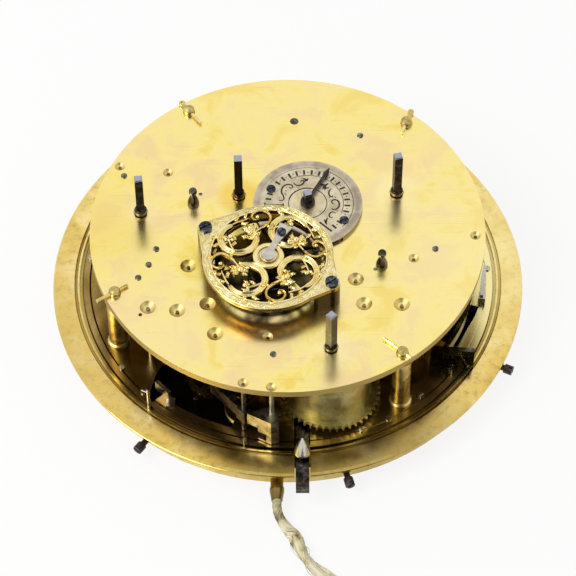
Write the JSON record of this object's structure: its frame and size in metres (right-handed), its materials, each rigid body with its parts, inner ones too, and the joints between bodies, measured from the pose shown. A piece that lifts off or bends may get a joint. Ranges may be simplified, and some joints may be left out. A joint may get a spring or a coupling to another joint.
{
  "type": "coach clock",
  "caption": "Movement of a coach clock with verge balance under a pierced bridge, fusee, striking and alarm trains between round plates, dial ring, latch and repeat cord.",
  "frame": {"origin": "centre of the dial ring on the surface that the movement lies on, dial down", "axes": "+Z from the dial to the back plate, +Y towards the hinge at twelve o'clock, +X to the right seen from the back plate with the hinge away"},
  "size_m": [0.15, 0.218, 0.0541],
  "materials": {
    "gilt_plate": "fire-gilt, semi-gloss, clouded",
    "gilt_brass": "gilt, satin",
    "aged_brass": "aged, mottled",
    "steel": "worn, grey to brown",
    "polished_steel": "polished",
    "blued_steel": "blued",
    "silvered_brass": "silvered, matt",
    "enamel": "white enamel, gloss",
    "silk": "frayed silk"
  },
  "bodies": {
    "movement": {"dial_ring": "aged_brass", "rim_screws": "steel", "dial": "enamel", "pillar_plate": "aged_brass", "pillars": "gilt_brass", "top_plate": "gilt_plate", "pillar_pins": "aged_brass", "plate_studs": "polished_steel", "plate_pins": "steel", "blued_screws": "blued_steel", "regulator_dial": "silvered_brass", "balance_bridge": "gilt_plate", "coqueret": "polished_steel", "potences": "aged_brass", "balance_spring": "blued_steel", "fusee_chain": "steel", "plate_springs": "steel", "cord_tube": "aged_brass", "repeat_cord": "silk", "cord_knot": "silk", "going_arbor": "steel"},
    "latch": {"latch_bolt": "steel"},
    "fusee": {"fusee": "gilt_brass", "fusee_wheel": "aged_brass"},
    "going_barrel": {"going_barrel": "gilt_brass"},
    "centre_wheel": {"centre_wheel": "gilt_brass", "cannon_pinion": "steel", "minute_hand": "blued_steel"},
    "third_wheel": {"third_wheel": "gilt_brass"},
    "contrate_wheel": {"contrate_wheel": "gilt_brass"},
    "crown_wheel": {"crown_wheel": "gilt_brass"},
    "balance": {"verge": "polished_steel", "balance_wheel": "gilt_brass"},
    "regulator_rack": {"regulator_rack": "steel"},
    "regulator_pointer": {"regulator_arbor": "steel", "regulator_pointer": "steel"},
    "hour_barrel": {"hour_barrel": "gilt_brass"},
    "hour_arbor": {"hour_arbor": "steel"},
    "hour_pin_wheel": {"hour_pin_wheel": "gilt_brass"},
    "hour_third_wheel": {"hour_third_wheel": "gilt_brass"},
    "hour_fly": {"hour_fly": "gilt_brass"},
    "quarter_barrel": {"quarter_barrel": "gilt_brass"},
    "quarter_arbor": {"quarter_arbor": "steel"},
    "quarter_pin_wheel": {"quarter_pin_wheel": "gilt_brass"},
    "quarter_third_wheel": {"quarter_third_wheel": "gilt_brass"},
    "quarter_fourth_wheel": {"quarter_fourth_wheel": "gilt_brass"},
    "quarter_fly": {"quarter_fly": "gilt_brass"},
    "alarm_barrel": {"alarm_barrel": "gilt_brass"},
    "alarm_arbor": {"alarm_arbor": "steel"},
    "alarm_wheel": {"alarm_wheel": "gilt_brass"},
    "alarm_hammer": {"alarm_hammer": "steel"},
    "hour_hammer": {"hour_hammer": "steel"},
    "left_hammer": {"left_hammer": "steel"},
    "block_hammer": {"block_hammer": "polished_steel"},
    "minute_wheel": {"minute_wheel": "gilt_brass"},
    "hour_wheel": {"hour_wheel": "gilt_brass", "hour_hand": "blued_steel"},
    "alarm_disc": {"alarm_disc": "silvered_brass"},
    "repeat_pulley": {"repeat_pulley": "aged_brass"},
    "release_lever": {"release_lever": "steel"}
  },
  "joints": [
    {"name": "latch_slide", "type": "slide", "parent": "movement", "child": "latch", "axis": [0, 1, 0], "range_m": [0, 0.003], "stiffness_N_per_m": 150, "springref_m": -0.002},
    {"name": "fusee_turn", "type": "hinge", "parent": "movement", "child": "fusee", "pos_m": [-0.01528, 0.01345, 0.03], "axis": [0, 0, 1], "continuous": true},
    {"name": "going_barrel_turn", "type": "hinge", "parent": "movement", "child": "going_barrel", "pos_m": [0.00237, 0.04407, 0.03], "axis": [0, 0, 1], "continuous": true},
    {"name": "centre_wheel_turn", "type": "hinge", "parent": "movement", "child": "centre_wheel", "pos_m": [0, 0, 0.03], "axis": [0, 0, 1], "continuous": true},
    {"name": "third_wheel_turn", "type": "hinge", "parent": "movement", "child": "third_wheel", "pos_m": [0.01166, -0.01096, 0.03], "axis": [0, 0, 1], "continuous": true},
    {"name": "contrate_wheel_turn", "type": "hinge", "parent": "movement", "child": "contrate_wheel", "pos_m": [0.02095, -0.0197, 0.03], "axis": [0, 0, 1], "continuous": true},
    {"name": "balance_swing", "type": "hinge", "parent": "movement", "child": "balance", "pos_m": [-0.00593, -0.0166, 0.03], "axis": [0, 0, 1], "range_deg": [-95, 95], "stiffness_Nm_per_rad": 0.00016},
    {"name": "regulator_rack_swing", "type": "hinge", "parent": "movement", "child": "regulator_rack", "pos_m": [-0.00593, -0.0166, 0.03], "axis": [0, 0, 1], "range_deg": [-11.2, 11.2]},
    {"name": "regulator_pointer_swing", "type": "hinge", "parent": "movement", "child": "regulator_pointer", "pos_m": [0.0064, 0.0092, 0.03], "axis": [0, 0, 1], "range_deg": [-80, 80]},
    {"name": "hour_barrel_turn", "type": "hinge", "parent": "movement", "child": "hour_barrel", "pos_m": [0.03449, 0.01418, 0.03], "axis": [0, 0, 1], "continuous": true},
    {"name": "hour_arbor_turn", "type": "hinge", "parent": "movement", "child": "hour_arbor", "pos_m": [0.03449, 0.01418, 0.03], "axis": [0, 0, 1], "continuous": true},
    {"name": "hour_pin_wheel_turn", "type": "hinge", "parent": "movement", "child": "hour_pin_wheel", "pos_m": [0.03908, -0.01172, 0.03], "axis": [0, 0, 1], "continuous": true},
    {"name": "hour_third_wheel_turn", "type": "hinge", "parent": "movement", "child": "hour_third_wheel", "pos_m": [0.03484, -0.02944, 0.03], "axis": [0, 0, 1], "continuous": true},
    {"name": "hour_fly_turn", "type": "hinge", "parent": "movement", "child": "hour_fly", "pos_m": [0.02331, -0.0291, 0.03], "axis": [0, 0, 1], "continuous": true},
    {"name": "quarter_barrel_turn", "type": "hinge", "parent": "movement", "child": "quarter_barrel", "pos_m": [0.01297, -0.04571, 0.03], "axis": [0, 0, 1], "continuous": true},
    {"name": "quarter_arbor_turn", "type": "hinge", "parent": "movement", "child": "quarter_arbor", "pos_m": [0.01297, -0.04571, 0.03], "axis": [0, 0, 1], "continuous": true},
    {"name": "quarter_pin_wheel_turn", "type": "hinge", "parent": "movement", "child": "quarter_pin_wheel", "pos_m": [-0.0062, -0.04133, 0.03], "axis": [0, 0, 1], "continuous": true},
    {"name": "quarter_third_wheel_turn", "type": "hinge", "parent": "movement", "child": "quarter_third_wheel", "pos_m": [-0.02217, -0.0401, 0.03], "axis": [0, 0, 1], "continuous": true},
    {"name": "quarter_fourth_wheel_turn", "type": "hinge", "parent": "movement", "child": "quarter_fourth_wheel", "pos_m": [-0.02463, -0.02884, 0.03], "axis": [0, 0, 1], "continuous": true},
    {"name": "quarter_fly_turn", "type": "hinge", "parent": "movement", "child": "quarter_fly", "pos_m": [-0.03386, -0.03124, 0.03], "axis": [0, 0, 1], "continuous": true},
    {"name": "alarm_barrel_turn", "type": "hinge", "parent": "movement", "child": "alarm_barrel", "pos_m": [-0.04605, 0.00695, 0.03], "axis": [0, 0, 1], "continuous": true},
    {"name": "alarm_arbor_turn", "type": "hinge", "parent": "movement", "child": "alarm_arbor", "pos_m": [-0.04605, 0.00695, 0.03], "axis": [0, 0, 1], "continuous": true},
    {"name": "alarm_wheel_turn", "type": "hinge", "parent": "movement", "child": "alarm_wheel", "pos_m": [-0.0378, 0.02309, 0.03], "axis": [0, 0, 1], "continuous": true},
    {"name": "alarm_hammer_swing", "type": "hinge", "parent": "movement", "child": "alarm_hammer", "pos_m": [-0.0532, 0.02574, 0.03], "axis": [0, 0, 1], "range_deg": [-6, 8]},
    {"name": "hour_hammer_swing", "type": "hinge", "parent": "movement", "child": "hour_hammer", "pos_m": [0.05861, -0.00294, 0.03], "axis": [0, 0, 1], "range_deg": [0, 10], "stiffness_Nm_per_rad": 0.002, "springref_deg": -5.73},
    {"name": "left_hammer_swing", "type": "hinge", "parent": "movement", "child": "left_hammer", "pos_m": [-0.0136, -0.0583, 0.03], "axis": [0, 0, 1], "range_deg": [0, 10], "stiffness_Nm_per_rad": 0.002, "springref_deg": -5.73},
    {"name": "block_hammer_swing", "type": "hinge", "parent": "movement", "child": "block_hammer", "pos_m": [-0.00512, -0.05992, 0.03], "axis": [0, 0, 1], "range_deg": [0, 10], "stiffness_Nm_per_rad": 0.002, "springref_deg": -5.73},
    {"name": "minute_wheel_turn", "type": "hinge", "parent": "movement", "child": "minute_wheel", "pos_m": [-0.01015, -0.00369, 0.006], "axis": [0, 0, 1], "continuous": true},
    {"name": "hour_wheel_turn", "type": "hinge", "parent": "movement", "child": "hour_wheel", "pos_m": [0, 0, 0.006], "axis": [0, 0, 1], "continuous": true},
    {"name": "alarm_disc_turn", "type": "hinge", "parent": "movement", "child": "alarm_disc", "pos_m": [0, 0, 0.006], "axis": [0, 0, 1], "continuous": true},
    {"name": "repeat_pulley_swing", "type": "hinge", "parent": "movement", "child": "repeat_pulley", "pos_m": [-0.0119, -0.047, 0.006], "axis": [0, 0, 1], "range_deg": [0, 180], "stiffness_Nm_per_rad": 0.001, "springref_deg": -28.65},
    {"name": "release_lever_swing", "type": "hinge", "parent": "movement", "child": "release_lever", "pos_m": [-0.03076, -0.01418, 0.03], "axis": [0, 0, 1], "range_deg": [-5, 5], "stiffness_Nm_per_rad": 0.001},
    {"name": "crown_wheel_turn", "type": "hinge", "parent": "movement", "child": "crown_wheel", "pos_m": [-0.00593, -0.0166, 0.026], "axis": [0.9934, -0.1146, 0], "continuous": true}
  ],
  "couplings": [
    {"joint": "crown_wheel_turn", "follows": "contrate_wheel_turn", "ratio": -6},
    {"joint": "third_wheel_turn", "follows": "contrate_wheel_turn", "ratio": -0.22222},
    {"joint": "centre_wheel_turn", "follows": "contrate_wheel_turn", "ratio": 0.041152},
    {"joint": "fusee_turn", "follows": "contrate_wheel_turn", "ratio": -0.0082305},
    {"joint": "going_barrel_turn", "follows": "contrate_wheel_turn", "ratio": -0.0059259},
    {"joint": "minute_wheel_turn", "follows": "contrate_wheel_turn", "ratio": -0.013717},
    {"joint": "hour_wheel_turn", "follows": "contrate_wheel_turn", "ratio": 0.0034294},
    {"joint": "hour_fly_turn", "follows": "hour_third_wheel_turn", "ratio": -5},
    {"joint": "hour_pin_wheel_turn", "follows": "hour_third_wheel_turn", "ratio": -0.17857},
    {"joint": "hour_barrel_turn", "follows": "hour_third_wheel_turn", "ratio": 0.041667},
    {"joint": "quarter_fly_turn", "follows": "quarter_fourth_wheel_turn", "ratio": -5.25},
    {"joint": "quarter_third_wheel_turn", "follows": "quarter_fourth_wheel_turn", "ratio": -0.2},
    {"joint": "quarter_pin_wheel_turn", "follows": "quarter_fourth_wheel_turn", "ratio": 0.037037},
    {"joint": "quarter_barrel_turn", "follows": "quarter_fourth_wheel_turn", "ratio": -0.011272},
    {"joint": "alarm_wheel_turn", "follows": "alarm_barrel_turn", "ratio": -5},
    {"joint": "regulator_rack_swing", "follows": "regulator_pointer_swing", "ratio": -0.14}
  ]
}
